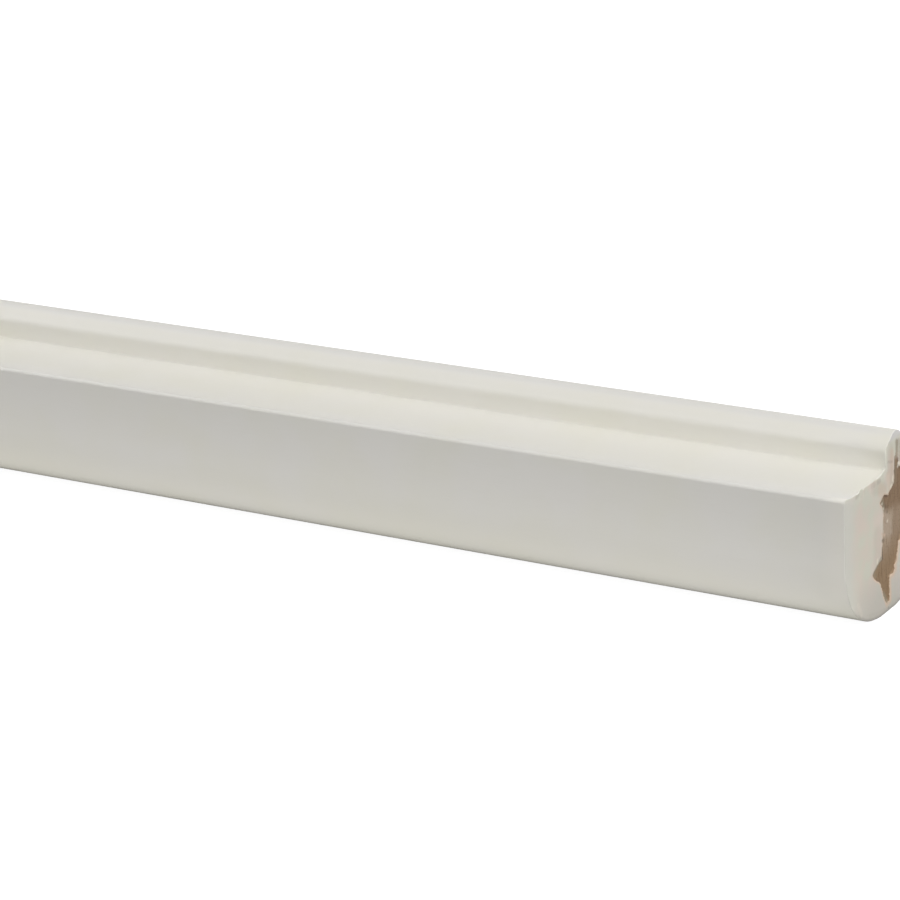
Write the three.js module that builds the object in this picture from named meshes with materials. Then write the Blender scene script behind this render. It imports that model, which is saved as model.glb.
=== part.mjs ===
// Window sill trim: one length of primed hardwood moulding, planed to a tongued nosing and cut square.
// Millimetres, +Z up. X runs along the moulding, and Y runs from its front face to its back.
// The origin is on the underside, at the middle of the length and of the depth.

import * as THREE from 'three';

// The cut length, and the body with its two vertical faces and its rounded lower half.
const length = 300;
const bodyDepth = 47;
const bodyHeight = 36;
const edgeRadius = 0.6;
const lowerCornerRadius = 18.4;
const undersideRadius = 40.3;
const restFlatWidth = 8;

// The front ledge is slightly hollow, and the tongue that stands up behind it has a bevelled tip.
const frontLedgeDepth = 22.4;
const frontLedgeHollow = 1.1;
const tongueWidth = 11.3;
const riserHeight = 5.2;
const tipBevel = THREE.MathUtils.degToRad(35);
const tipShoulderRadius = 1.8;
const tipRidgeRadius = 3.5;

// How many straight steps stand for half of each round stretch of the outline.
const arcSteps = 5;

const frontY = -bodyDepth / 2;
const backY = bodyDepth / 2;
const quarterTurn = Math.PI / 2;

// The lower half is three arcs that run into each other: a corner, the shallow underside and a corner.
// The underside is cut flat over a narrow strip, which is what the moulding stands on.
function addLowerHalf(outline) {
  const halfFlat = restFlatWidth / 2;
  const undersideCentreZ = Math.sqrt(undersideRadius ** 2 - halfFlat ** 2);
  const cornerOffsetY = bodyDepth / 2 - lowerCornerRadius;
  const cornerDropZ = Math.sqrt((undersideRadius - lowerCornerRadius) ** 2 - cornerOffsetY ** 2);
  const cornerCentreZ = undersideCentreZ - cornerDropZ;
  const joinAngle = Math.atan2(cornerDropZ, cornerOffsetY);
  const flatEndAngle = Math.atan2(undersideCentreZ, halfFlat);

  outline.absarc(-cornerOffsetY, cornerCentreZ, lowerCornerRadius, Math.PI, Math.PI + joinAngle);
  outline.absarc(0, undersideCentreZ, undersideRadius, Math.PI + joinAngle, Math.PI + flatEndAngle);
  outline.lineTo(halfFlat, 0);
  outline.absarc(0, undersideCentreZ, undersideRadius, -flatEndAngle, -joinAngle);
  outline.absarc(cornerOffsetY, cornerCentreZ, lowerCornerRadius, -joinAngle, 0);
}

// The tip has two equal bevels, eased where they leave the sides and rounded over where they meet.
function addTongue(outline) {
  const tongueFrontY = frontY + frontLedgeDepth;
  const tongueBackY = tongueFrontY + tongueWidth;
  const middleY = (tongueFrontY + tongueBackY) / 2;
  const bevelStartZ = bodyHeight + riserHeight;
  const turn = quarterTurn - tipBevel;
  const shoulderZ = bevelStartZ - tipShoulderRadius * Math.tan(turn / 2);
  const sharpTipZ = bevelStartZ + (tongueWidth / 2) * Math.tan(tipBevel);
  const ridgeZ = sharpTipZ - tipRidgeRadius / Math.cos(tipBevel);

  outline.lineTo(tongueBackY, bodyHeight);
  outline.absarc(tongueBackY - tipShoulderRadius, shoulderZ, tipShoulderRadius, 0, turn);
  outline.absarc(middleY, ridgeZ, tipRidgeRadius, turn, Math.PI - turn);
  outline.absarc(tongueFrontY + tipShoulderRadius, shoulderZ, tipShoulderRadius, Math.PI - turn, Math.PI);
  outline.lineTo(tongueFrontY, bodyHeight);
}

// One shallow arc from the foot of the tongue to the rounded front edge.
function addFrontLedge(outline) {
  const startY = frontY + frontLedgeDepth;
  const endY = frontY + edgeRadius;
  const halfWidth = (startY - endY) / 2;
  const radius = (halfWidth ** 2 + frontLedgeHollow ** 2) / (2 * frontLedgeHollow);
  const halfAngle = Math.asin(halfWidth / radius);
  const centreZ = bodyHeight + radius - frontLedgeHollow;

  outline.absarc((startY + endY) / 2, centreZ, radius, halfAngle - quarterTurn, -halfAngle - quarterTurn, true);
}

// The section, drawn anticlockwise from the front face: across is Y, up is Z.
function sectionOutline() {
  const edgeCentreZ = bodyHeight - edgeRadius;
  const outline = new THREE.Shape();
  outline.moveTo(frontY, edgeCentreZ);
  addLowerHalf(outline);
  outline.absarc(backY - edgeRadius, edgeCentreZ, edgeRadius, 0, quarterTurn);
  addTongue(outline);
  addFrontLedge(outline);
  outline.absarc(frontY + edgeRadius, edgeCentreZ, edgeRadius, quarterTurn, Math.PI);
  return outline;
}

const primedHardwood = new THREE.MeshStandardMaterial({ color: 0xdedcd3, roughness: 0.7, metalness: 0 });

// Two quarter turns stand the drawn section upright across the moulding, with its length along X.
const sillTrim = new THREE.Mesh(
  new THREE.ExtrudeGeometry(sectionOutline(), { depth: length, bevelEnabled: false, curveSegments: arcSteps }),
  primedHardwood,
);
sillTrim.name = 'sill_trim';
sillTrim.rotation.set(quarterTurn, quarterTurn, 0);
sillTrim.position.x = -length / 2;

const group = new THREE.Group();
group.add(sillTrim);

export default group;
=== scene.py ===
import math

import bmesh
import bpy
import numpy as np
from mathutils import Matrix, Vector, noise


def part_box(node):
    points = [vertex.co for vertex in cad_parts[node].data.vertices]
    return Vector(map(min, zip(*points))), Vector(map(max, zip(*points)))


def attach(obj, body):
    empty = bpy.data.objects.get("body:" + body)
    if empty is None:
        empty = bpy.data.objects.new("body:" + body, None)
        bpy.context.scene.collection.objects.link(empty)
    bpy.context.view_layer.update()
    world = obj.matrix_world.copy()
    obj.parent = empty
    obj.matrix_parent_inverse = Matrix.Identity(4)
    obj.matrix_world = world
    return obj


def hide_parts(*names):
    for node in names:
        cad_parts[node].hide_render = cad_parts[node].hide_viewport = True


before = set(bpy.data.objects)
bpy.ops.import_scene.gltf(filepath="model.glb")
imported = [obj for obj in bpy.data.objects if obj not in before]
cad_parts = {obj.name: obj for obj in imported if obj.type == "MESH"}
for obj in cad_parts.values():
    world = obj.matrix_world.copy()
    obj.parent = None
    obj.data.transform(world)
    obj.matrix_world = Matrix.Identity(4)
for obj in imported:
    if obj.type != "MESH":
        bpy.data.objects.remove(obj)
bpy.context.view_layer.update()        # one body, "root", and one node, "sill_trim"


# The camera stands in front of the trim, above it and to its right, and looks through a long lens.
# It is rolled a little, so the trim runs down to the right, and its right end meets the picture's edge.
# The lens is 3362 pixels long in a picture 900 pixels wide.
camera_place = Vector((0.4650, -0.6813, 0.3081))
camera_aim = Vector((0.05724, -0.04629, 0.04260))
camera_roll = math.radians(-2.93)
lens_per_width = 3362 / 900

camera_data = bpy.data.cameras.new("camera")
camera_data.sensor_width = 36
camera_data.lens = camera_data.sensor_width * lens_per_width
camera_data.clip_start = 0.05
camera_data.clip_end = 20
camera = bpy.data.objects.new("camera", camera_data)
camera_turn = (camera_aim - camera_place).to_track_quat("-Z", "Y").to_matrix().to_4x4()
camera.matrix_world = Matrix.Translation(camera_place) @ camera_turn @ Matrix.Rotation(camera_roll, 4, "Z")
bpy.context.scene.collection.objects.link(camera)
bpy.context.scene.camera = camera


# The trim is one length of solid hardwood, planed to its section in one pass: a nosing with a flat front,
# a rounded lower half, a slightly hollow ledge and a tongue with a bevelled tip.
# It is primed all over, and both ends were sawn square before that.
mm = 0.001
trim_low, trim_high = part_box("sill_trim")
half_length = trim_high.x
half_depth = trim_high.y
body_height = 36 * mm
edge_radius = 0.9 * mm
lower_corner_radius = 18.4 * mm
underside_radius = 40.3 * mm
half_rest_flat = 4 * mm
ledge_depth = 22.4 * mm
ledge_hollow = 1.1 * mm
inner_corner_radius = 0.35 * mm
tongue_width = 11.3 * mm
riser_height = 5.2 * mm
tip_bevel = math.radians(35)
tip_shoulder_radius = 1.8 * mm
tip_ridge_radius = 3.5 * mm
fine_step = 0.45 * mm
ledge_step = 0.3 * mm
coarse_step = 1.0 * mm
sharp_step = 0.12 * mm
outline_weld = 0.01 * mm


def draw_line(bm, vert, y, z, step):
    """Draws on from the last vertex of an outline in equal straight steps, and returns the new last one."""
    start = vert.co.copy()
    end = Vector((start.x, y, z))
    count = max(1, round((end - start).length / step))
    for number in range(1, count + 1):
        vert = bmesh.ops.extrude_vert_indiv(bm, verts=[vert])["verts"][0]
        vert.co = start.lerp(end, number / count)
    return vert


def draw_arc(bm, vert, centre_y, centre_z, angle, step):
    """Swings the last vertex of an outline about a centre, and returns the new last one."""
    centre = Vector((vert.co.x, centre_y, centre_z))
    count = max(2, round((vert.co - centre).length * abs(angle) / step))
    made = bmesh.ops.spin(
        bm, geom=[vert], cent=centre, axis=(1, 0, 0), angle=angle, steps=count, use_duplicate=False)
    return next(part for part in made["geom_last"] if isinstance(part, bmesh.types.BMVert))


def draw_section(bm, x):
    """Draws the whole section at one place along the trim, anticlockwise from the front face."""
    # The rounded lower half: two corners run into the shallow underside, which is flat over a narrow strip.
    underside_centre = math.sqrt(underside_radius ** 2 - half_rest_flat ** 2)
    corner_y = half_depth - lower_corner_radius
    corner_drop = math.sqrt((underside_radius - lower_corner_radius) ** 2 - corner_y ** 2)
    corner_z = underside_centre - corner_drop
    join = math.atan2(corner_drop, corner_y)
    flat_end = math.atan2(underside_centre, half_rest_flat)
    edge_z = body_height - edge_radius

    # The tongue: two bevels, eased where they leave its sides and rounded over where they meet.
    tongue_front = ledge_depth - half_depth
    tongue_back = tongue_front + tongue_width
    tongue_middle = (tongue_front + tongue_back) / 2
    shoulder_turn = math.pi / 2 - tip_bevel
    bevel_z = body_height + riser_height
    shoulder_z = bevel_z - tip_shoulder_radius * math.tan(shoulder_turn / 2)
    shoulder_foot_y = tongue_front + tip_shoulder_radius * (1 - math.cos(shoulder_turn))
    shoulder_foot_z = shoulder_z + tip_shoulder_radius * math.sin(shoulder_turn)
    ridge_z = bevel_z + tongue_width / 2 * math.tan(tip_bevel) - tip_ridge_radius / math.cos(tip_bevel)
    ridge_foot_y = tip_ridge_radius * math.cos(shoulder_turn)
    ridge_foot_z = ridge_z + tip_ridge_radius * math.sin(shoulder_turn)

    # The ledge: one hollow arc, which ends in a small cove at the foot of the tongue.
    ledge_half = (tongue_front + half_depth - edge_radius) / 2
    ledge_middle = tongue_front - ledge_half
    ledge_radius = (ledge_half ** 2 + ledge_hollow ** 2) / (2 * ledge_hollow)
    ledge_centre = body_height + ledge_radius - ledge_hollow
    ledge_end = math.asin(ledge_half / ledge_radius)
    cove_y = tongue_front - inner_corner_radius
    cove_drop = math.sqrt((ledge_radius - inner_corner_radius) ** 2 - (cove_y - ledge_middle) ** 2)
    cove_z = ledge_centre - cove_drop
    cove_turn = math.atan2(cove_drop, cove_y - ledge_middle)

    # The outline itself, from the top of the front face down and round.
    vert = bmesh.ops.create_vert(bm, co=(x, -half_depth, edge_z))["vert"][0]
    vert = draw_line(bm, vert, -half_depth, corner_z, coarse_step)
    vert = draw_arc(bm, vert, -corner_y, corner_z, join, coarse_step)
    vert = draw_arc(bm, vert, 0, underside_centre, flat_end - join, coarse_step)
    vert = draw_line(bm, vert, half_rest_flat, 0, coarse_step)
    vert = draw_arc(bm, vert, 0, underside_centre, flat_end - join, coarse_step)
    vert = draw_arc(bm, vert, corner_y, corner_z, join, coarse_step)
    vert = draw_line(bm, vert, half_depth, edge_z, coarse_step)
    vert = draw_arc(bm, vert, half_depth - edge_radius, edge_z, math.pi / 2, sharp_step)
    vert = draw_line(bm, vert, tongue_back, body_height, coarse_step)
    vert = draw_line(bm, vert, tongue_back, shoulder_z, fine_step)
    vert = draw_arc(bm, vert, tongue_back - tip_shoulder_radius, shoulder_z, shoulder_turn, fine_step)
    vert = draw_line(bm, vert, tongue_middle + ridge_foot_y, ridge_foot_z, fine_step)
    vert = draw_arc(bm, vert, tongue_middle, ridge_z, math.pi - 2 * shoulder_turn, fine_step)
    vert = draw_line(bm, vert, shoulder_foot_y, shoulder_foot_z, fine_step)
    vert = draw_arc(bm, vert, tongue_front + tip_shoulder_radius, shoulder_z, shoulder_turn, fine_step)
    vert = draw_line(bm, vert, tongue_front, cove_z, fine_step)
    vert = draw_arc(bm, vert, cove_y, cove_z, -cove_turn, sharp_step)
    vert = draw_arc(bm, vert, ledge_middle, ledge_centre, -(math.pi / 2 - cove_turn) - ledge_end, ledge_step)
    draw_arc(bm, vert, -half_depth + edge_radius, edge_z, math.pi / 2, sharp_step)
    bmesh.ops.remove_doubles(bm, verts=bm.verts, dist=outline_weld)


trim_bm = bmesh.new()
draw_section(trim_bm, -half_length)
section_ring = np.array([vert.co.yz for vert in trim_bm.verts])

# The section is drawn out along the trim in steps that are short near both ends, where the edges are eased.
# Each end is closed by one face, which gets three narrow rings for its eased edge and then a grid.
ease_step = 0.12 * mm
ease_rings = 3
left_stretch = 6 * mm
right_stretch = 9 * mm
end_step = 0.3 * mm
long_step = 2 * mm
right_grid = 0.3 * mm
left_grid = 0.75 * mm
cut_tolerance = 1e-7
end_weld = 0.005 * mm


def draw_out(bm, ring, length, step):
    """Draws a ring of edges out along the trim in equal steps, and returns the last ring."""
    count = max(1, round(length / step))
    made = bmesh.ops.spin(
        bm, geom=ring, cent=(0, 0, 0), axis=(1, 0, 0), dvec=(length / count, 0, 0), angle=0,
        steps=count, use_duplicate=False)
    return [part for part in made["geom_last"] if isinstance(part, bmesh.types.BMEdge)]


def cut_strips(bm, faces, axis, places):
    """Cuts flat faces across one axis at each place in turn, and returns all the pieces."""
    across = Vector((0, axis == 1, axis == 2))
    finished = []
    for place in places:
        geom = set(faces)
        for face in faces:
            geom.update(face.edges, face.verts)
        cut = bmesh.ops.bisect_plane(
            bm, geom=list(geom), dist=cut_tolerance, plane_co=across * place, plane_no=across)
        pieces = [part for part in cut["geom"] if isinstance(part, bmesh.types.BMFace)]
        faces = [face for face in pieces if face.calc_center_bounds()[axis] > place]
        finished += [face for face in pieces if face.calc_center_bounds()[axis] <= place]
    return finished + faces


def add_end(bm, x, grid):
    """Closes an end by a face that has narrow rings at its edge and a grid inside them."""
    end_bm = bmesh.new()
    draw_section(end_bm, x)
    cap = bmesh.ops.contextual_create(end_bm, geom=list(end_bm.edges))["faces"]
    for _ in range(ease_rings):
        bmesh.ops.inset_region(
            end_bm, faces=cap, thickness=ease_step, use_boundary=True, use_even_offset=True)
    strips = cut_strips(end_bm, cap, 1, np.arange(trim_low.y + grid / 2, trim_high.y, grid))
    cut_strips(end_bm, strips, 2, np.arange(trim_low.z + grid / 2, trim_high.z, grid))
    end_mesh = bpy.data.meshes.new("end")
    end_bm.to_mesh(end_mesh)
    end_bm.free()
    bm.from_mesh(end_mesh)
    bpy.data.meshes.remove(end_mesh)


last_ring = list(trim_bm.edges)
eased_stretch = ease_rings * ease_step
middle_stretch = 2 * (half_length - eased_stretch) - left_stretch - right_stretch
for stretch, step in (
    (eased_stretch, ease_step),
    (left_stretch, end_step),
    (middle_stretch, long_step),
    (right_stretch, end_step),
    (eased_stretch, ease_step),
):
    last_ring = draw_out(trim_bm, last_ring, stretch, step)
add_end(trim_bm, -half_length, left_grid)
add_end(trim_bm, half_length, right_grid)
bmesh.ops.remove_doubles(trim_bm, verts=trim_bm.verts, dist=end_weld)
bmesh.ops.recalc_face_normals(trim_bm, faces=trim_bm.faces)

# The primer missed part of the sawn right end, in a ragged streak that runs up into the tongue.
# Places on the end are given in mm, as depth behind the front face and height.
bare_edge = (
    (22.4, 2.5), (21.0, 4.6), (20.2, 6.5), (19.1, 8.7), (16.7, 10.3), (15.6, 11.4), (14.9, 12.3),
    (17.1, 13.4), (19.1, 14.2), (20.2, 14.3), (20.0, 15.7), (20.7, 20.3), (21.2, 21.0), (21.0, 23.4),
    (21.3, 26.5), (19.3, 29.0), (21.6, 30.3), (23.9, 29.4), (24.1, 30.1), (26.2, 30.9), (27.2, 32.0),
    (27.1, 34.7), (27.4, 37.9), (28.0, 38.2), (28.4, 41.6), (29.3, 41.7), (29.4, 37.8), (29.6, 35.2),
    (31.6, 33.6), (34.0, 30.5), (33.2, 27.4), (34.1, 24.0), (32.4, 21.2), (32.9, 18.4), (30.3, 15.9),
    (29.5, 15.9), (28.8, 14.0), (28.2, 11.6), (26.9, 10.5), (27.3, 9.7), (26.3, 8.9), (24.5, 9.0),
    (24.0, 9.0), (24.2, 2.7),
)
# The recess fades in over the streak's edge, in mm from it, with the bare side below zero.
bare_depth = 0.25 * mm
pit_depth = 0.12 * mm
pit_width = 0.8 * mm
recess_start = 0.05
recess_full = -0.2
far_from_bare = 10.0

# A smear of thin primer lies within the streak.
smear_edge = ((20.8, 27.2), (24.2, 25.6), (26.9, 21.6), (26.6, 18.4), (21.0, 19.0), (20.8, 23.4))

# Short strokes on the end. Each has the depth and height of its two ends and half of its width, all in mm,
# and how strong it is, from 0 to 1.
# Painted shadow: the dark strokes just under the ledge's ragged edge, and the one along the streak's lower
# front edge, stand for shade under lips of primer. The other dark strokes are dark marks.
dark_and_shadow_strokes = (
    (23.8, 37.8, 26.0, 37.1, 0.3, 0.2), (21.6, 27.6, 23.5, 26.6, 0.45, 0.3),
    (23.3, 25.3, 23.7, 25.3, 0.4, 0.35), (20.3, 19.2, 21.8, 18.6, 0.4, 0.5),
    (20.4, 17.4, 20.9, 14.3, 0.4, 0.75), (23.6, 0.8, 23.7, 0.8, 0.3, 0.4),
    (27.6, 37.4, 28.2, 33.0, 0.4, 0.2), (6.2, 34.6, 8.0, 34.8, 0.35, 0.2),
    (18.0, 34.5, 19.3, 34.5, 0.5, 0.2), (15.0, 34.6, 16.4, 34.4, 0.5, 0.1),
)
# The cream strokes are flecks of primer, but for the faint one low near the front edge, which is a painted
# highlight on the rounded lower edge.
cream_and_highlight_strokes = (
    (26.1, 32.4, 26.3, 33.4, 0.3, 0.7), (25.2, 31.2, 25.5, 31.4, 0.35, 0.8),
    (20.8, 28.1, 20.9, 28.2, 0.3, 0.6), (21.6, 26.7, 21.7, 26.8, 0.3, 0.6),
    (23.8, 22.9, 23.9, 22.9, 0.35, 0.6), (20.5, 17.9, 20.8, 17.9, 0.3, 0.8),
    (17.5, 15.3, 17.5, 14.4, 0.35, 0.6), (29.9, 35.6, 29.8, 34.8, 0.45, 0.8),
    (6.7, 7.8, 8.8, 4.5, 0.6, 0.15),
)
dull_strokes = (
    (20.7, 29.2, 21.6, 26.4, 0.9, 0.6), (29.8, 41.0, 30.3, 36.5, 0.8, 0.4),
    (19.6, 14.8, 15.6, 12.3, 0.7, 0.7), (28.3, 41.5, 28.7, 38.0, 0.6, 0.6),
    (21.3, 5.2, 23.0, 2.8, 0.6, 0.7), (21.0, 24.0, 20.8, 20.5, 0.4, 0.4),
    (24.8, 40.6, 24.8, 36.4, 1.8, 0.17), (17.7, 21.6, 17.7, 15.0, 2.2, 0.13),
    (16.5, 33.5, 21.4, 32.0, 1.6, 0.15), (25.6, 36.0, 25.6, 31.8, 1.0, 0.18),
    (28.1, 35.6, 28.0, 31.6, 1.0, 0.35), (15.7, 12.2, 17.3, 11.2, 0.6, 0.35),
)
peach_strokes = (
    (20.0, 21.0, 22.3, 19.8, 0.35, 0.6), (24.0, 34.2, 24.8, 31.4, 1.3, 0.35),
    (25.9, 39.6, 25.8, 31.8, 0.9, 0.4), (19.5, 32.4, 21.4, 31.0, 1.6, 0.35),
)
veil_strokes = peach_strokes[:1]

# The right end stands a little back from the full length, and its edges wander.
end_recess = 0.4 * mm
end_ease = 0.15 * mm
end_wander = 0.07 * mm
wander_grain = 1.3 * mm
wander_reach = 3 * mm
wander_inset = 0.3 * mm
wander_drop = 2 * mm

# The saw left the end edge of the ledge ragged. Each place is a depth behind the front face, and how high
# the edge stands over the even ledge there, in mm.
ledge_burr = (
    (0.0, 0.0), (2.9, 0.05), (4.5, 0.1), (6.1, 0.32), (7.2, 0.17), (8.2, 0.35), (8.5, 0.9),
    (9.8, 0.95), (10.1, 0.35), (10.5, 0.35), (10.8, 0.75), (13.7, 0.7), (15.3, 0.55), (16.4, 0.48),
    (18.1, 0.25), (19.2, 0.12), (20.3, 0.2), (21.4, 0.45), (22.0, 0.5), (22.4, 0.2),
)
burr_lowest = body_height - 1.5 * mm
burr_reach = 1.2 * mm
burr_drop = 1.0 * mm


def nearest_on_path(points, path):
    """The nearest place on a closed path, and how far away it is, for each of many points in a plane."""
    start = path[None, :, :]
    way = (np.roll(path, -1, axis=0) - path)[None, :, :]
    share = ((points[:, None, :] - start) * way).sum(axis=2) / (way ** 2).sum(axis=2)
    places = start + np.clip(share, 0, 1)[:, :, None] * way
    distances = np.linalg.norm(points[:, None, :] - places, axis=2)
    best = distances.argmin(axis=1)
    row = np.arange(len(points))
    return places[row, best], distances[row, best]


def is_inside(points, path):
    """Which of many points in a plane a closed path goes round."""
    start = path[None, :, :]
    end = np.roll(path, -1, axis=0)[None, :, :]
    y = points[:, None, 0]
    z = points[:, None, 1]
    spans = (start[..., 1] > z) != (end[..., 1] > z)
    rise = np.where(end[..., 1] == start[..., 1], 1, end[..., 1] - start[..., 1])
    crossing = start[..., 0] + (z - start[..., 1]) / rise * (end[..., 0] - start[..., 0])
    return (spans & (y < crossing)).sum(axis=1) % 2 == 1


def signed_distance(points, path):
    """How far each point is from a closed path, with points inside it below zero."""
    distance = nearest_on_path(points, path)[1]
    return np.where(is_inside(points, path), -distance, distance)


def fade(value, start, end):
    """Goes smoothly from 0 at start to 1 at end, which may be the smaller of the two."""
    share = np.clip((value - start) / (end - start), 0, 1)
    return share * share * (3 - 2 * share)


def rough(points, grain, seed):
    """Noise of about one grain's width, from -1 to 1, at each of many points."""
    return np.array([noise.noise(Vector(point) / grain + Vector((seed, 0, 0))) for point in points])


def stroked(spots, strokes):
    """How strongly each of many places on the end is marked by short strokes with soft edges, from 0 to 1."""
    share = np.zeros(len(spots))
    for first_depth, first_height, last_depth, last_height, half_width, strength in strokes:
        start = np.array((first_depth, first_height))
        way = np.array((last_depth, last_height)) - start
        along = np.clip((spots - start) @ way / (way @ way), 0, 1)
        away = np.linalg.norm(spots - start - along[:, None] * way, axis=1)
        share = np.maximum(share, strength * fade(away / half_width, 1.5, 0.5))
    return share


def shape_end(places, is_end, side, seed):
    """Eases the edge between the long faces and one end, and lets it wander along the trim."""
    x = places[:, 0] * side
    section = places[:, 1:]
    edge_places, inset = nearest_on_path(section, section_ring)
    nearest = np.linalg.norm(section[:, None, :] - section_ring[None, :, :], axis=2).argmin(axis=1)
    inward = ring_inward[nearest]
    inset = np.where(is_end, inset, 0)
    edge_places = np.where(is_end[:, None], edge_places, section)
    from_end = half_length - x
    turn = (1 - np.clip(np.where(is_end, inset, from_end) / end_ease, 0, 1)) * math.pi / 4
    more = end_ease * (1 - np.cos(turn))
    less = end_ease * (1 - np.sin(turn))
    eased = turn > 0
    new_inset = np.where(eased, np.where(is_end, less, more), inset)
    new_from_end = np.where(eased, np.where(is_end, more, less), from_end)
    back = end_wander * (1 - rough(np.column_stack([edge_places, edge_places[:, :1]]), wander_grain, seed))
    back *= fade(from_end, wander_reach, 0) * fade(inset, wander_drop, wander_inset)
    section = np.where(eased[:, None], edge_places + inward * new_inset[:, None], section)
    return np.column_stack([(half_length - new_from_end - back) * side, section])


def burr_lift(section, from_end):
    """How far the ragged edge lifts each place on the ledge and on the end just below it."""
    edge_places, inset = nearest_on_path(section, section_ring)
    depth = (edge_places[:, 0] + half_depth) / mm
    on_ledge = (edge_places[:, 1] > burr_lowest) & (depth < ledge_depth / mm)
    burr_depths, burr_heights = np.array(ledge_burr).T
    lift = np.where(on_ledge, np.interp(depth, burr_depths, burr_heights), 0) * mm
    return lift * fade(from_end, burr_reach, 0) * fade(inset, burr_drop, 0)


# The way into the trim at each vertex of its section.
ring_way = np.roll(section_ring, -1, axis=0) - np.roll(section_ring, 1, axis=0)
ring_inward = np.column_stack([-ring_way[:, 1], ring_way[:, 0]])
ring_inward /= np.linalg.norm(ring_inward, axis=1)[:, None]

end_tolerance = 1e-6
places = np.array([vert.co for vert in trim_bm.verts])
on_right_end = places[:, 0] > half_length - end_tolerance
on_left_end = places[:, 0] < -half_length + end_tolerance
near_right = places[:, 0] > half_length - wander_reach
near_left = places[:, 0] < -half_length + wander_reach

# What the finish needs to know of each place on the right end: how far it is from the streak's edge in mm,
# roughened as torn primer is, how far it is from the outline, and which side of the streak it is on.
coarse_tear = 0.22
coarse_tear_width = 0.9 * mm
fine_tear = 0.12
fine_tear_width = 0.4 * mm
streak_lean = 0.24

end_places = places[on_right_end]
spots = end_places[:, 1:] / mm + (half_depth / mm, 0)
depth, height = spots.T
from_streak = signed_distance(spots, np.array(bare_edge))
from_streak += coarse_tear * rough(end_places, coarse_tear_width, seed=3)
from_streak += fine_tear * rough(end_places, fine_tear_width, seed=5)
from_smear = signed_distance(spots, np.array(smear_edge))
rim = nearest_on_path(end_places[:, 1:], section_ring)[1] / mm
behind_streak = fade(depth - streak_lean * height, 20.5, 22.5)

# The parts of the right end that the finish tells apart. Each is a strength, from 0 to 1, that fades over
# stretches of the depth, the height, the distance from the streak or the distance from the outline, in mm.
halo_width = 0.8 + 1.1 * behind_streak * fade(height, 20, 15)
halo = fade(from_streak, halo_width, 0) * fade(height, 36, 33)
# Painted shade: the end turns greyer and darker towards its lower part, away from its front edge, where less
# light reaches it. High on the end, between heights of about 25 and 36 mm, the primer is a little greyer.
low_painted_shade = 0.75 * fade(depth, 0, 9) * fade(height, 16, 4)
high_grey = 0.12 * fade(height, 25, 30) * fade(height, 36, 33)
# Painted shade: a dark rim along the end's lower outline, where the rounded underside turns down towards the
# shadowed floor, and a faint one along its front edge.
shaded_rim_below = 0.7 * fade(rim, 1.0, 0.2) * fade(height, 12, 5) * fade(depth, 3, 10)
shaded_rim_front = 0.15 * fade(rim, 0.5, 0.15) * fade(depth, 5, 2)
on_riser = fade(height, 34.5, 36.5) * fade(height, 43, 41) * fade(depth, 26, 24.5)

# The finish at each vertex of the right end, as shares from 0 to 1 apart from the distance.
looks = {
    "to_bare": from_streak,
    # Painted shadow: the bare wood darkens just inside the streak's edge, mostly on its front side, under the
    # lip of the torn primer.
    "edge_shadow": fade(from_streak, -0.7, -0.1) * (1 - 0.85 * behind_streak),
    "peach": np.maximum(halo, stroked(spots, peach_strokes)),
    "veiled": np.maximum(0.55 * fade(height, 36.2, 38.2), stroked(spots, veil_strokes)),
    "smeared": fade(from_smear, 0.5, -1.0),
    "pale": fade(height, 27, 23.5) * (1 - 0.55 * behind_streak),
    "red": fade(height, 21, 11),
    "greyed_and_shaded": np.maximum(low_painted_shade, high_grey),
    "shaded_rim": np.maximum(shaded_rim_below, shaded_rim_front),
    "eased": fade(rim, 1.9, 0.6) * on_riser,
    "tipped": fade(height, 41.5, 43.5),
    "dull": stroked(spots, dull_strokes),
    "dark": stroked(spots, dark_and_shadow_strokes),
    "cream": stroked(spots, cream_and_highlight_strokes),
}
for name, values in looks.items():
    shares = np.full(len(places), far_from_bare if name == "to_bare" else 0.0)
    shares[on_right_end] = values
    looks[name] = shares

# The finish of the long faces. The primer is slightly creamy all over but the upper front and the ridge, and
# creamier next to the right end, where the front face is also lighter. It is greyer on the tongue's tip.
# Painted shade darkens the tongue's shoulder near the right end, the ledge's front edge and the right end's
# front edge.
all_depth = (places[:, 1] + half_depth) / mm
all_height = places[:, 2] / mm
to_right_end = (half_length - places[:, 0]) / mm
from_arris = np.hypot(all_depth, all_height - body_height / mm)
on_upper_front = fade(all_depth, 10, 0.3) * fade(all_height, 6, 20)
on_shoulder = fade(all_height, 40.3, 40.9) * fade(all_height, 42.6, 41.6) * fade(all_depth, 26, 25)
at_front_edge = fade(to_right_end, 0.6, 0.2) * fade(all_depth, 6, 2)
looks["fronted"] = fade(all_depth, 9, 0)
# The front face is lighter next to the right end.
looks["lighter_near_end"] = fade(to_right_end, 8, 1) * fade(all_depth, 3, 1)
looks["creamy"] = 0.22 * (1 - on_upper_front) * fade(all_height, 44, 43)
looks["creamy"] += 0.25 * fade(to_right_end, 10, 1) * fade(all_depth, 2, 12)
looks["grey_tip_shaded_shoulder"] = 0.32 * fade(all_height, 40.5, 41.5) + 0.3 * fade(all_height, 43.4, 44.1)
# Painted shade on the tongue's shoulder, darker towards the right end.
looks["grey_tip_shaded_shoulder"] += 0.5 * on_shoulder * fade(to_right_end, 18, 6)
# Painted shade along the ledge's front edge, and along the right end's front edge.
looks["arris_shade"] = 0.35 * fade(from_arris, 2.0, 0.9) + 0.05 * fade(from_arris, 8, 1.5)
looks["arris_shade"] *= fade(all_depth, 0, 0.4)
looks["arris_shade"] = np.maximum(looks["arris_shade"], 0.6 * at_front_edge)

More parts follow.
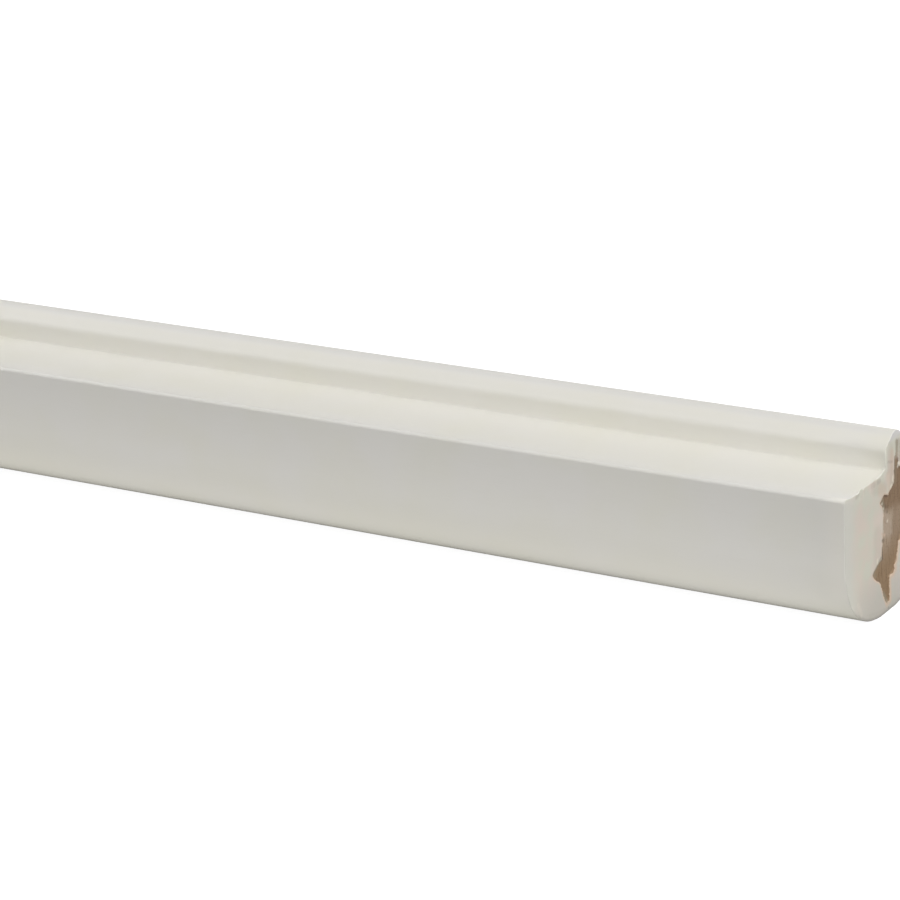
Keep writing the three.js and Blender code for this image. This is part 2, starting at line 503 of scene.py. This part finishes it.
# The right end is ragged along the ledge, recessed where it is bare, and eased all round. The left end is
# primed all over.
from_end = half_length - places[near_right][:, 0]
lift = burr_lift(places[near_right][:, 1:], from_end)
places[near_right] = shape_end(places[near_right], on_right_end[near_right], side=1, seed=8)
places[near_right, 0] -= end_recess * fade(from_end, wander_reach, 0)
places[near_right, 2] += lift
bareness = fade(looks["to_bare"], recess_start, recess_full)
pits = 0.5 + 0.5 * rough(places, pit_width, seed=13)
places[:, 0] -= bareness * (bare_depth + pit_depth * pits)
places[near_left] = shape_end(places[near_left], on_left_end[near_left], side=-1, seed=21)

for name, shares in looks.items():
    layer = trim_bm.verts.layers.float.new(name)
    for vert, share in zip(trim_bm.verts, shares):
        vert[layer] = share
for vert, place in zip(trim_bm.verts, places):
    vert.co = place
is_end_vert = on_left_end | on_right_end
trim_bm.verts.index_update()
for face in trim_bm.faces:
    face.smooth = True
    face.material_index = int(all(is_end_vert[vert.index] for vert in face.verts))

trim_mesh = bpy.data.meshes.new("primed_sill_trim")
trim_bm.to_mesh(trim_mesh)
trim_bm.free()
trim = bpy.data.objects.new("primed_sill_trim", trim_mesh)
bpy.context.scene.collection.objects.link(trim)
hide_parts("sill_trim")
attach(trim, "root")


# The long faces: a factory coat of water-based primer sprayed on planed hardwood. It dries to a smooth
# off-white with a soft sheen, and the wood's long pores show through it as faint grooves along the trim.
def linear(hex_colour):
    """An sRGB hex colour as linear red, green, blue and alpha."""
    parts = [int(hex_colour[at:at + 2], 16) / 255 for at in (0, 2, 4)]
    return [part / 12.92 if part <= 0.04045 else ((part + 0.055) / 1.055) ** 2.4 for part in parts] + [1]


def add(tree, kind, inputs=None, **settings):
    """Adds a node, sets it up, and links or fills its inputs."""
    node = tree.nodes.new(kind)
    for name, value in settings.items():
        setattr(node, name, value)
    for name, value in (inputs or {}).items():
        if isinstance(value, bpy.types.NodeSocket):
            tree.links.new(value, node.inputs[name])
        else:
            node.inputs[name].default_value = value
    return node


def new_material(name):
    """An empty node material and its tree."""
    material = bpy.data.materials.new(name)
    material.use_nodes = True
    material.node_tree.nodes.clear()
    return material, material.node_tree


primer_colour = "dedcd7"
primer_cloud_colour = "dddbd3"
lighter_near_end_colour = "e3e0d8"
creamy_primer_colour = "dddac9"
# The tip colour is greyer primer on the tongue's tip and painted shade on its shoulder.
tip_grey_and_shade_colour = "d2d0cc"
# Painted shade for the ledge's front edge and the right end's front edge.
arris_shade_colour = "cfcdc7"
cloud_width = 22 * mm
cloud_start = 0.4
cloud_full = 0.65
pore_length = 9 * mm
pore_width = 0.5 * mm
pore_depth = 0.014 * mm
pore_start = 0.58
pore_full = 0.72
stipple_width = 0.7 * mm
stipple_depth = 0.012 * mm
primer_roughness = 0.55
coat_ior = 1.45

primer, tree = new_material("sprayed_primer_on_planed_hardwood")
place = add(tree, "ShaderNodeTexCoord").outputs["Object"]
clouds = add(tree, "ShaderNodeTexNoise", {"Vector": place, "Scale": 1 / cloud_width, "Detail": 2})
cloud_share = add(tree, "ShaderNodeMapRange", {
    "Value": clouds.outputs["Fac"], "From Min": cloud_start, "From Max": cloud_full})
colour = add(tree, "ShaderNodeMix", {
    "Factor": cloud_share.outputs["Result"], "A": linear(primer_colour), "B": linear(primer_cloud_colour)},
    data_type="RGBA")
# The tip layer is partly painted shade and the arris layer is painted shade.
for name, layer_colour in (
    ("grey_tip_shaded_shoulder", tip_grey_and_shade_colour), ("arris_shade", arris_shade_colour), ("creamy", creamy_primer_colour),
    ("lighter_near_end", lighter_near_end_colour),
):
    share = add(tree, "ShaderNodeAttribute", attribute_name=name)
    colour = add(tree, "ShaderNodeMix", {
        "Factor": share.outputs["Fac"], "A": colour.outputs[2], "B": linear(layer_colour)}, data_type="RGBA")
drawn_out = add(tree, "ShaderNodeMapping", {
    "Vector": place, "Scale": (1 / pore_length, 1 / pore_width, 1 / pore_width)})
pores = add(tree, "ShaderNodeTexNoise", {"Vector": drawn_out.outputs["Vector"], "Scale": 1, "Detail": 1})
pore_share = add(tree, "ShaderNodeMapRange", {
    "Value": pores.outputs["Fac"], "From Min": pore_start, "From Max": pore_full, "To Min": 1, "To Max": 0})
stipple = add(tree, "ShaderNodeTexNoise", {"Vector": place, "Scale": 1 / stipple_width, "Detail": 2})
pore_bump = add(tree, "ShaderNodeBump", {"Height": pore_share.outputs["Result"], "Distance": pore_depth})
primer_bump = add(tree, "ShaderNodeBump", {
    "Height": stipple.outputs["Fac"], "Distance": stipple_depth, "Normal": pore_bump.outputs["Normal"]})
surface = add(tree, "ShaderNodeBsdfPrincipled", {
    "Base Color": colour.outputs[2], "Roughness": primer_roughness, "IOR": coat_ior,
    "Normal": primer_bump.outputs["Normal"]})
add(tree, "ShaderNodeOutputMaterial", {"Surface": surface.outputs["BSDF"]})


# The sawn ends: the same primer soaks into the end grain, so it dries thinner, duller and creamier, and it
# turns peach where it thins out round the bare streak. The bare wood is brown meranti with open pores.
end_primer_colour = "d8d2c4"
front_primer_colour = "d6d4cb"
pink_primer_colour = "dcd0c4"
green_primer_colour = "d5d4c5"
# This grey is partly painted shade, on the lower part of the right end.
grey_and_shade_colour = "c6c2b9"
# Painted shade along the end's outline.
rim_shade_colour = "a39f98"
riser_primer_colour = "dedccf"
tip_primer_colour = "d6d4d1"
thin_primer_colour = "dbc3ac"
dark_wood_colour = "8f775f"
pale_wood_colour = "b09d88"
red_wood_colour = "987f63"
grain_colour = "6f563e"
# Painted shadow under the torn primer's edge.
edge_shadow_colour = "80695a"
smear_colour = "b5a391"
pore_colour = "5b4635"
dull_colour = "9c927f"
# Partly painted shadow.
dark_and_shadow_colour = "6a5f52"
# Partly a painted highlight.
cream_and_highlight_colour = "ece5d4"
blotch_width = 7 * mm
speck_width = 0.9 * mm
tear_width = 0.5 * mm
primer_start = -0.05     # mm from the streak's edge, with the bare side below zero
primer_full = 0.1
grain_length = 5 * mm
grain_width = 0.8 * mm
vessel_spacing = 0.55 * mm
saw_mark_spacing = 8.17 * mm
saw_mark_depth = 0.02 * mm
wave_turn = 20           # radians that a wave texture turns through in one unit at a scale of 1
fibre_width = 0.25 * mm
fibre_depth = 0.03 * mm
end_primer_roughness = 0.68
bare_wood_roughness = 0.85

end_primer, tree = new_material("thin_primer_on_sawn_meranti")
place = add(tree, "ShaderNodeTexCoord").outputs["Object"]
shown = {name: add(tree, "ShaderNodeAttribute", attribute_name=name).outputs["Fac"] for name in looks}
blotches = add(tree, "ShaderNodeTexNoise", {"Vector": place, "Scale": 1 / blotch_width, "Detail": 2})
specks = add(tree, "ShaderNodeTexNoise", {"Vector": place, "Scale": 1 / speck_width, "Detail": 4})
tears = add(tree, "ShaderNodeTexNoise", {"Vector": place, "Scale": 1 / tear_width, "Detail": 3})
along_grain = add(tree, "ShaderNodeMapping", {
    "Vector": place, "Scale": (1 / grain_width, 1 / grain_width, 1 / grain_length)})
grain = add(tree, "ShaderNodeTexNoise", {"Vector": along_grain.outputs["Vector"], "Scale": 1, "Detail": 2})
vessels = add(tree, "ShaderNodeTexVoronoi", {"Vector": place, "Scale": 1 / vessel_spacing})

# Each pattern is mapped from a stretch of its values to a share, or to a shift in mm for the tears.
for name, pattern, start, end, first, second in (
    ("pink", blotches.outputs["Fac"], 0.42, 0.62, 0, 1),
    ("green", blotches.outputs["Fac"], 0.46, 0.36, 0, 0.8),
    ("edge_shadow_specks", specks.outputs["Fac"], 0.42, 0.6, 0, 1),
    ("smear_specks", specks.outputs["Fac"], 0.35, 0.55, 0.3, 0.9),
    ("tears", tears.outputs["Fac"], 0.2, 0.8, -0.12, 0.12),
    ("grain", grain.outputs["Fac"], 0.48, 0.7, 0, 0.35),
    ("pores", vessels.outputs["Distance"], 0.3, 0.12, 0, 0.6),
):
    mapped = add(tree, "ShaderNodeMapRange", {
        "Value": pattern, "From Min": start, "From Max": end, "To Min": first, "To Max": second},
        interpolation_type="SMOOTHSTEP")
    shown[name] = mapped.outputs["Result"]
for name, speckled in (("edge_shadow", "edge_shadow_specks"), ("smeared", "smear_specks")):
    broken = add(tree, "ShaderNodeMath", {0: shown[name], 1: shown[speckled]}, operation="MULTIPLY")
    shown[name] = broken.outputs["Value"]

# The streak's edge is torn, and a thin veil of primer covers some of the wood.
torn = add(tree, "ShaderNodeMath", {0: shown["to_bare"], 1: shown["tears"]}, operation="ADD")
primed = add(tree, "ShaderNodeMapRange", {
    "Value": torn.outputs["Value"], "From Min": primer_start, "From Max": primer_full})
covered = add(tree, "ShaderNodeMath", {
    0: primed.outputs["Result"], 1: shown["veiled"]}, operation="MAXIMUM").outputs["Value"]

# Primer, wood and the strokes over both are each built up in layers, the next one over the last.
coats = {}
# Of the primer's layers, the grey is partly painted shade and the rim is painted shade; the wood's edge layer
# is a painted shadow.
for name, ground, layers in (
    ("primer", linear(end_primer_colour), (
        ("pink", pink_primer_colour), ("green", green_primer_colour), ("greyed_and_shaded", grey_and_shade_colour),
        ("fronted", front_primer_colour), ("shaded_rim", rim_shade_colour), ("eased", riser_primer_colour),
        ("tipped", tip_primer_colour), ("peach", thin_primer_colour))),
    ("wood", linear(dark_wood_colour), (
        ("pale", pale_wood_colour), ("red", red_wood_colour), ("grain", grain_colour), ("pores", pore_colour),
        ("edge_shadow", edge_shadow_colour), ("smeared", smear_colour))),
):
    for share, layer_colour in layers:
        layer = add(tree, "ShaderNodeMix", {
            "Factor": shown[share], "A": ground, "B": linear(layer_colour)}, data_type="RGBA")
        ground = layer.outputs[2]
    coats[name] = ground
colour = add(tree, "ShaderNodeMix", {
    "Factor": covered, "A": coats["wood"], "B": coats["primer"]}, data_type="RGBA").outputs[2]
# Of these strokes, the dark ones are partly painted shadow and the cream ones partly a painted highlight.
for share, layer_colour in (("dull", dull_colour), ("dark", dark_and_shadow_colour), ("cream", cream_and_highlight_colour)):
    layer = add(tree, "ShaderNodeMix", {
        "Factor": shown[share], "A": colour, "B": linear(layer_colour)}, data_type="RGBA")
    colour = layer.outputs[2]

roughness = add(tree, "ShaderNodeMapRange", {
    "Value": covered, "To Min": bare_wood_roughness, "To Max": end_primer_roughness})
saw_marks = add(tree, "ShaderNodeTexWave", {
    "Vector": place, "Scale": math.tau / (wave_turn * saw_mark_spacing), "Distortion": 2, "Detail": 2},
    bands_direction="Z")
fibres = add(tree, "ShaderNodeTexNoise", {"Vector": place, "Scale": 1 / fibre_width, "Detail": 3})
saw_bump = add(tree, "ShaderNodeBump", {"Height": saw_marks.outputs["Fac"], "Distance": saw_mark_depth})
end_bump = add(tree, "ShaderNodeBump", {
    "Height": fibres.outputs["Fac"], "Distance": fibre_depth, "Normal": saw_bump.outputs["Normal"]})
surface = add(tree, "ShaderNodeBsdfPrincipled", {
    "Base Color": colour, "Roughness": roughness.outputs["Result"], "IOR": coat_ior,
    "Normal": end_bump.outputs["Normal"]})
add(tree, "ShaderNodeOutputMaterial", {"Surface": surface.outputs["BSDF"]})

trim_mesh.materials.append(primer)
trim_mesh.materials.append(end_primer)


# The trim lies on a plain white floor in a plain white room. Only the camera sees both, so neither lights the
# trim. Two glowing strips of floor on each side, one near and one far, light its rounded lower half instead.
# The floor lies a hair below the flat strip that the trim stands on, so that the two faces don't coincide.
studio_radius = 6
floor_colour = "8a8a89"
floor_glow = 0.94
room_glow = 1.0
no_colour = "000000"
floor_drop = 0.05 * mm
strip_drop = 0.3 * mm
strip_length = 0.56
strip_past_end = 10 * mm
strip_colour = "fffefa"

# Each strip's name, where it starts and ends out from the middle of the trim, and how strongly it glows.
strips = (("near", 16 * mm, 55 * mm, 0.764), ("far", 55 * mm, 100 * mm, 0.351))


def add_stage(name, bm, colour, glow, camera_only):
    """A piece of the studio that either the camera alone sees, or everything but the camera.

    The glow is a colour and a strength.
    """
    stage_mesh = bpy.data.meshes.new(name)
    bm.to_mesh(stage_mesh)
    bm.free()
    stage = bpy.data.objects.new(name, stage_mesh)
    bpy.context.scene.collection.objects.link(stage)
    stage.visible_camera = camera_only
    stage.visible_diffuse = not camera_only
    stage.visible_glossy = not camera_only
    stage.visible_shadow = not camera_only
    material, tree = new_material(name + "_paint")
    surface = add(tree, "ShaderNodeBsdfPrincipled", {
        "Base Color": linear(colour), "Roughness": 1, "Specular IOR Level": 0,
        "Emission Color": linear(glow[0]), "Emission Strength": glow[1]})
    add(tree, "ShaderNodeOutputMaterial", {"Surface": surface.outputs["BSDF"]})
    stage_mesh.materials.append(material)


floor_bm = bmesh.new()
bmesh.ops.create_circle(floor_bm, cap_ends=True, segments=64, radius=studio_radius)
bmesh.ops.translate(floor_bm, verts=floor_bm.verts, vec=(0, 0, -floor_drop))
add_stage("floor", floor_bm, floor_colour, ("ffffff", floor_glow), camera_only=True)

room_bm = bmesh.new()
bmesh.ops.create_uvsphere(room_bm, u_segments=32, v_segments=16, radius=studio_radius)
add_stage("room", room_bm, no_colour, ("ffffff", room_glow), camera_only=True)

strip_x = half_length + strip_past_end - strip_length / 2
for side_name, side in (("front", -1), ("back", 1)):
    for name, strip_from, strip_to, glow in strips:
        strip_bm = bmesh.new()
        bmesh.ops.create_grid(strip_bm, x_segments=1, y_segments=1, size=0.5)
        bmesh.ops.scale(strip_bm, verts=strip_bm.verts, vec=(strip_length, strip_to - strip_from, 1))
        strip_middle = (strip_x, side * (strip_from + strip_to) / 2, -strip_drop)
        bmesh.ops.translate(strip_bm, verts=strip_bm.verts, vec=strip_middle)
        add_stage(f"{name}_{side_name}_strip", strip_bm, no_colour, (strip_colour, glow), camera_only=False)

# Eight round softboxes stand round the trim, each aimed at it. Each has an angle from the front towards the
# right end, an angle up from the floor, and its watts.
softbox_width = 1.2
softbox_distance = 2.0
softbox_aim = Vector((0.08, 0, 0.02))
softboxes = (
    ("front", 0, 20, 10.9), ("front_right", 45, 20, 15.1), ("right", 90, 45, 27.0),
    ("back_right", 135, 20, 6.4), ("back", 180, 20, 6.4), ("high_back", 180, 45, 2.1),
    ("low_back", 180, 5, 12.0), ("left", -90, 20, 34.2),
)
for name, round_angle, up_angle, watts in softboxes:
    light_data = bpy.data.lights.new(name, "AREA")
    light_data.shape = "DISK"
    light_data.size = softbox_width
    light_data.energy = watts
    light = bpy.data.objects.new(name, light_data)
    raised = Matrix.Rotation(-math.radians(up_angle), 3, "X") @ Vector((0, -1, 0))
    facing = Matrix.Rotation(math.radians(round_angle), 3, "Z") @ raised
    light.location = softbox_aim + facing * softbox_distance
    light.rotation_euler = facing.to_track_quat("Z", "Y").to_euler()
    light.visible_camera = False
    bpy.context.scene.collection.objects.link(light)

world = bpy.data.worlds.new("studio")
world.use_nodes = True
world.node_tree.nodes["Background"].inputs["Strength"].default_value = 0
bpy.context.scene.world = world
bpy.context.scene.view_settings.view_transform = "Standard"
